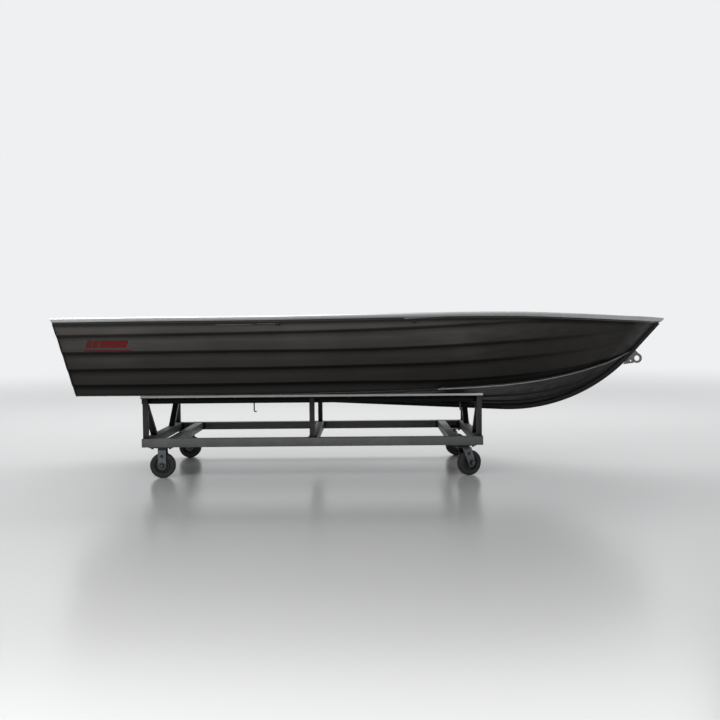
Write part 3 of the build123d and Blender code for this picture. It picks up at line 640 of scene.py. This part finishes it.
# Drain plug: a bung of black moulded rubber with a flat bar to grip it by, pushed by hand into the
# hole at the transom's lowest point.
def worn_rubber():
    finish = Finish("worn_rubber", 0.0, 0.75)
    dust = finish.grain(45.0, detail=6.0)
    finish.colour(dust, [(0.35, (0.009, 0.009, 0.010)), (0.75, (0.022, 0.021, 0.020))])
    finish.relief(finish.grain(500.0), 0.0003, 0.5)
    return finish.material


rubber = worn_rubber()
drain_height = 0.535
plug = turned("plug", [(0, 2 * sunk), (0.017, 2 * sunk), (0.017, 0.0035), (0.0155, 0.0050),
                       (0.0115, 0.0052), (0.0105, 0.0130), (0.0090, 0.0145), (0, 0.0145)])
bpy.ops.object.mode_set(mode="EDIT")
bpy.ops.mesh.primitive_cube_add(size=1, location=(0, 0, 0.0150), scale=(0.026, 0.0045, 0.010))
bpy.ops.mesh.bevel(offset=0.0014, segments=2)
bpy.ops.object.mode_set(mode="OBJECT")
copies(plug, [land(transom, (astern, 0, drain_height), (1, 0, 0))], "drain_plug", rubber)
used_up(plug)


# Cradle frame: welded square steel tube and angle under thin grey-green paint, with dust on top,
# scuffs and a few bare chips. Painted welds run round each post's foot and across each joint.
steel_crease, steel_rounding = 30, 0.0012
paint_levels = ((0.30, 0.084), (0.50, 0.116), (0.64, 0.142), (0.70, 0.210))
paint_tint = (0.97, 1.0, 0.97)


def cradle_paint(name, dark, gloss=0.5):
    finish = Finish(name, gloss / 2, 0.45)
    finish.shader.inputs["Specular IOR Level"].default_value = gloss
    tone = finish.blend(finish.grain(5.0), finish.grain(60.0, detail=6.0), 0.35)
    stops = [(place, [dark * level * part for part in paint_tint]) for place, level in paint_levels]
    finish.colour(tone, stops, crease=0.02)
    finish.rough(tone, 0.38, 0.6)
    finish.relief(finish.grain(260.0), 0.0003, 0.4)
    return finish.material


# Painted shade: each part of the frame gets its own copy of the one paint, darker the deeper it sits under
# the hull, down to the angle rails in full shade.
for name, dark, gloss in (("bottom_rails", 0.92, 0.5), ("cross_members", 0.75, 0.4), ("posts", 0.28, 0.25),
                          ("braces", 0.26, 0.2), ("angle_rails", 0.10, 0.08)):
    paint = cradle_paint(f"{name}_paint", dark, gloss)
    skin(f"{name}_steel", name, steel_crease, paint, rounding=steel_rounding)

rail_inside, rail_top, rail_low = 0.4255, 0.2405, 0.192
member_places, member_half = (-1.361, -1.214, -0.378, 0.458, 0.605), 0.0255
post_places, post_y, post_half = (-1.3645, -0.378, 0.6085), 0.450, 0.0155
post_top, post_top_ends = 0.4775, (0.437, 0.463)
brace_places, brace_half, brace_foot = (-1.3645, 0.6085), 0.018, (0.228, 0.261)
brace_top_y, brace_top = 0.4345, (0.408, 0.441)
frame_lines = []
for outward in sides.values():
    y = outward * rail_inside
    for x in member_places:
        aft, fore = x - member_half, x + member_half
        frame_lines.append([(aft, y, rail_low), (aft, y, rail_top), (fore, y, rail_top),
                            (fore, y, rail_low)])
    low, high = outward * post_y - post_half, outward * post_y + post_half
    for x in post_places:
        aft, fore = x - post_half, x + post_half
        frame_lines.append([(aft, low, rail_top), (fore, low, rail_top), (fore, high, rail_top),
                            (aft, high, rail_top), (aft, low, rail_top)])
        for edge in (aft, fore):
            frame_lines.append([(edge, outward * end, post_top) for end in post_top_ends])
    for x in brace_places:
        for edge in (x - brace_half, x + brace_half):
            frame_lines.append([(edge, outward * end, rail_top) for end in brace_foot])
            frame_lines.append([(edge, outward * brace_top_y, end) for end in brace_top])
bead("cradle_welds", frame_lines, 0.0028, cradle_paint("weld_paint", 0.6))


# Bunk strips: pale plastic strips on the angle rails, which keep the hull off the steel. Each is held
# by screws driven up through the angle's flange from below.
def bunk_plastic():
    finish = Finish("bunk_plastic", 0.0, 0.4)
    finish.shader.inputs["Coat Weight"].default_value = 1.0
    finish.shader.inputs["Coat Roughness"].default_value = 0.25
    scuffs = finish.grain(35.0, (0.15, 1, 1), 6.0)
    finish.colour(scuffs, [(0.35, (0.84, 0.84, 0.83)), (0.7, (0.95, 0.95, 0.94))])
    finish.relief(scuffs, 0.0004, 0.4)
    return finish.material


skin("bunk_strip_pads", "bunk_strips", 30, bunk_plastic(), rounding=0.0015)
angles = bpy.data.objects["angle_rails_steel"]
strip_screw = turned("strip_screw", [(0, sunk), (0.0055, sunk), (0.0055, 0.0012), (0.0035, 0.0028),
                                     (0, 0.0032)], 12)
under_angles, middle_post, post_clear = 0.30, post_places[1], 0.05
screw_places = [x for x in even(-1.28, 0.52, 9) if abs(x - middle_post) > post_clear]
stands = [land(angles, (x, outward * post_y, under_angles), (0, 0, 1))
          for x in screw_places for outward in sides.values()]
copies(strip_screw, stands, "bunk_strip_screws", stainless)
used_up(strip_screw)


# Lashing hooks: four bars bent forward at the foot and plated in yellow zinc, two on the inside of
# each angle rail, for the straps that hold the boat down.
def zinc_plate(name="zinc_plate", tint=(0.110, 0.122, 0.126)):
    finish = Finish(name, 0.85, 0.4)
    patches = finish.grain(90.0, detail=2.0)
    finish.colour(patches, [(0.3, tint), (0.7, [1.5 * part for part in tint])], crease=0.02)
    finish.rough(patches, 0.33, 0.5)
    return finish.material


bar_rounding = 0.0012
yellow_zinc = zinc_plate("yellow_zinc", (0.055, 0.050, 0.026))
skin("lashing_hooks_bent", "lashing_hooks", steel_crease, yellow_zinc, rounding=bar_rounding)


# Castors: pressed steel forks and top plates, zinc-plated and bolted on under the cradle, with steel
# axles and black rubber tyres on dark spoked centres. The stern pair is fixed, and the bow pair
# swivels on ball races.
def dark_centre():
    finish = Finish("dark_centre", 0.3, 0.5)
    finish.colour(finish.grain(70.0), [(0.3, (0.016, 0.016, 0.017)), (0.7, (0.030, 0.030, 0.032))])
    finish.relief(finish.grain(600.0), 0.0002, 0.4)
    return finish.material


zinc, centre = zinc_plate(), dark_centre()
fork_crease, pressed_rounding, tyre_rounding = 25, 0.0008, 0.006
skin("caster_plates_zinc", "caster_plates", steel_crease, zinc, rounding=pressed_rounding)
skin("stern_forks_pressed", "stern_forks", fork_crease, zinc)
skin("stern_axle_bolts", "stern_axles", fork_crease, zinc)

# What repeats on the castors is made about its own middle: the spokes and lip of a wheel centre, the
# mould ring on a tyre's side, the axle's threaded end and the plug in each fork leg's spare hole.
leg_plug = turned("leg_plug", [(0, sunk), (0.0085, sunk), (0.0085, 0.0010), (0.0072, 0.0018),
                               (0.0056, 0.0018), (0.0050, 0.0006), (0, 0.0006)], 20)

bpy.ops.object.select_all(action="DESELECT")
bpy.ops.mesh.primitive_cube_add(size=1, location=(0.031, 0, 0.0125), scale=(0.030, 0.0045, 0.007))
spoke = bpy.context.object
bpy.ops.object.transform_apply(location=True, rotation=False, scale=True)
bpy.ops.object.mode_set(mode="EDIT")
bpy.ops.mesh.select_all(action="SELECT")
bpy.ops.mesh.bevel(offset=0.0012, segments=2)
bpy.ops.object.mode_set(mode="OBJECT")
bpy.ops.object.shade_smooth_by_angle(angle=radians(40))

lip = turned("lip", [(0.0425, 0.0095), (0.0462, 0.0095), (0.0462, 0.0206), (0.0450, 0.0212),
                     (0.0438, 0.0200)], 40)
boss_ring = turned("boss_ring", [(0.0120, 0.0235), (0.0172, 0.0235), (0.0178, 0.0205), (0.0182, 0.0100),
                                 (0.0120, 0.0100)], 28)
mould_ring = turned("mould_ring", [(0.0600, 0.0190), (0.0606, 0.0206), (0.0618, 0.0209),
                                   (0.0626, 0.0190)], 48)
thread_end = turned("thread_end", [(0, sunk), (0.0048, sunk), (0.0048, 0.0022), (0.0038, 0.0032),
                                   (0, 0.0032)], 16)
race_radius, race_height, race_steps = 0.0360, 0.1765, 10
race_turns = [2 * pi * step / race_steps for step in range(race_steps)]
race = turned("race", [(race_radius + 0.0042 * cos(turn), race_height + 0.0038 * sin(turn))
                       for turn in race_turns], 40)
plate_bolt = hex_bolt("plate_bolt", 0.013, 0.0095)

axle_x, swivel_x, track, axle_z = -1.276, 0.520, 0.410, 0.075
trail = 0.040             # from the swivel's axis to its wheel's axle
rest_yaw = {"port": 8, "stbd": 28}
leg_face, nut_face = 0.030, 0.0378    # from the wheel's middle, out along the axle
plug_share, plug_height = 0.47, 0.133
spoke_count = 6
bolt_places = [(x, y) for x in (-0.0525, 0.0525) for y in (-0.040, 0.040)]
plate_low = 0.184

for side, outward in sides.items():
    stern_at = Matrix.Translation((axle_x, outward * track, 0))
    swivel_at = Matrix.Translation((swivel_x, outward * track, 0)) @ Matrix.Rotation(
        radians(rest_yaw[side]), 4, "Z")
    swivel, bow_wheel, stern_wheel = f"bow_swivel_{side}", f"bow_wheel_{side}", f"stern_wheel_{side}"
    skin(f"bow_fork_pressed_{side}", f"bow_fork_{side}", fork_crease, zinc, swivel,
         rounding=pressed_rounding)
    skin(f"bow_axle_bolt_{side}", f"bow_axle_{side}", fork_crease, zinc, swivel)
    copies(race, [swivel_at], f"bow_race_{side}", zinc, swivel)
    for end, at, reach, fork_body, wheel_body in (("stern", stern_at, 0.0, "root", stern_wheel),
                                                  ("bow", swivel_at, trail, swivel, bow_wheel)):
        skin(f"{end}_tyre_tread_{side}", f"{end}_tyre_{side}", fork_crease, rubber,
             wheel_body, rounding=tyre_rounding)
        skin(f"{end}_hub_centre_{side}", f"{end}_hub_{side}", fork_crease, centre,
             wheel_body, rounding=pressed_rounding)
        faces = [at @ Matrix.Translation((reach, 0, axle_z)) @ Matrix.Rotation(-turn * pi / 2, 4, "X")
                 for turn in (1, -1)]
        spokes = [face @ Matrix.Rotation(2 * pi * number / spoke_count, 4, "Z")
                  for face in faces for number in range(spoke_count)]
        copies(spoke, spokes, f"{end}_spokes_{side}", centre, wheel_body)
        copies(lip, faces, f"{end}_rim_lips_{side}", centre, wheel_body)
        copies(boss_ring, faces, f"{end}_bearing_rings_{side}", zinc, wheel_body)
        copies(mould_ring, faces, f"{end}_mould_rings_{side}", rubber, wheel_body)
        ends = [face @ Matrix.Translation((0, 0, nut_face)) for face in faces]
        copies(thread_end, ends, f"{end}_axle_ends_{side}", zinc, fork_body)
        plug_at = at @ Matrix.Translation((reach * plug_share, 0, plug_height))
        legs = [plug_at @ facing((0, turn * leg_face, 0), (0, turn, 0)) for turn in (1, -1)]
        copies(leg_plug, legs, f"{end}_fork_plugs_{side}", blackened, fork_body)
        middle = at.translation
        bolts = [facing((middle.x + x, middle.y + y, plate_low), (0, 0, -1)) for x, y in bolt_places]
        copies(plate_bolt, bolts, f"{end}_plate_bolts_{side}", blackened)
used_up(leg_plug, spoke, lip, boss_ring, mould_ring, thread_end, race, plate_bolt)


# Stand: a plain pale floor under soft even light from all round, with a broad lamp over the far side
# and a smaller one over the near side.
floor_size, fade_start, fade_end = 60.0, 3.0, 14.0
background = (0.86, 0.87, 0.88, 1)
floor_colour = (0.60, 0.60, 0.60, 1)
sky_strength = 0.45


def pale_floor():
    """Pale and faintly glossy by the object, and plain background to the camera further away."""
    finish = Finish("pale_floor", 0.0, 0.22)
    finish.shader.inputs["Base Color"].default_value = floor_colour
    nodes, links = finish.tree.nodes, finish.tree.links
    distance = nodes.new("ShaderNodeVectorMath")
    distance.operation = "LENGTH"
    links.new(finish.place, distance.inputs[0])
    away = nodes.new("ShaderNodeMapRange")
    away.interpolation_type = "SMOOTHSTEP"
    away.inputs["From Min"].default_value = fade_start
    away.inputs["From Max"].default_value = fade_end
    links.new(distance.outputs["Value"], away.inputs["Value"])
    seen = nodes.new("ShaderNodeLightPath")
    backdrop = nodes.new("ShaderNodeEmission")
    backdrop.inputs["Color"].default_value = background
    mix = nodes.new("ShaderNodeMixShader")
    links.new(finish.times(away.outputs["Result"], seen.outputs["Is Camera Ray"]), mix.inputs["Fac"])
    links.new(finish.shader.outputs["BSDF"], mix.inputs[1])
    links.new(backdrop.outputs["Emission"], mix.inputs[2])
    links.new(mix.outputs["Shader"], nodes["Material Output"].inputs["Surface"])
    return finish.material


bpy.ops.mesh.primitive_plane_add(size=floor_size, location=(0, 0, 0))
floor = bpy.context.object
floor.name = "floor"
floor.data.materials.append(pale_floor())

world = bpy.data.worlds.new("soft_light")
scene.world = world
world.use_nodes = True
tree = world.node_tree
sky = tree.nodes["Background"]
sky.inputs["Color"].default_value = background
seen = tree.nodes.new("ShaderNodeLightPath")
most = tree.nodes.new("ShaderNodeMath")
most.operation = "MAXIMUM"
tree.links.new(seen.outputs["Is Camera Ray"], most.inputs[0])
tree.links.new(seen.outputs["Is Glossy Ray"], most.inputs[1])
level = tree.nodes.new("ShaderNodeMapRange")
level.inputs["To Min"].default_value = sky_strength
tree.links.new(most.outputs["Value"], level.inputs["Value"])
tree.links.new(level.outputs["Result"], sky.inputs["Strength"])

# Each lamp is (place, tilt, turn, size, power)
for place, tilt, turn, size, power in (((-0.6, 3.6, 4.2), -42, 0, (9.0, 2.5), 260.0),
                                       ((-2.2, -4.2, 3.6), 50, -28, (5.0, 2.0), 110.0)):
    bpy.ops.object.light_add(type="AREA", location=place, rotation=(radians(tilt), 0, radians(turn)))
    lamp = bpy.context.object
    lamp.data.shape = "RECTANGLE"
    lamp.data.size, lamp.data.size_y = size
    lamp.data.energy = power
    lamp.visible_camera = False

# Camera: at the photograph's place, level with the gunwale and square to the boat's side.
camera_data = bpy.data.cameras.new("camera")
camera_data.sensor_width = 36.0
camera_data.lens = 44.53
camera = bpy.data.objects.new("camera", camera_data)
scene.collection.objects.link(camera)
camera.location = (-0.042, -5.7, 0.903)
pitch, heading, roll = radians(2.26), radians(0.54), radians(0.54)
camera.rotation_euler = (Matrix.Rotation(heading, 4, "Z") @ Matrix.Rotation(pi / 2 - pitch, 4, "X")
                         @ Matrix.Rotation(-roll, 4, "Z")).to_euler()
scene.camera = camera
scene.view_settings.view_transform = "Standard"
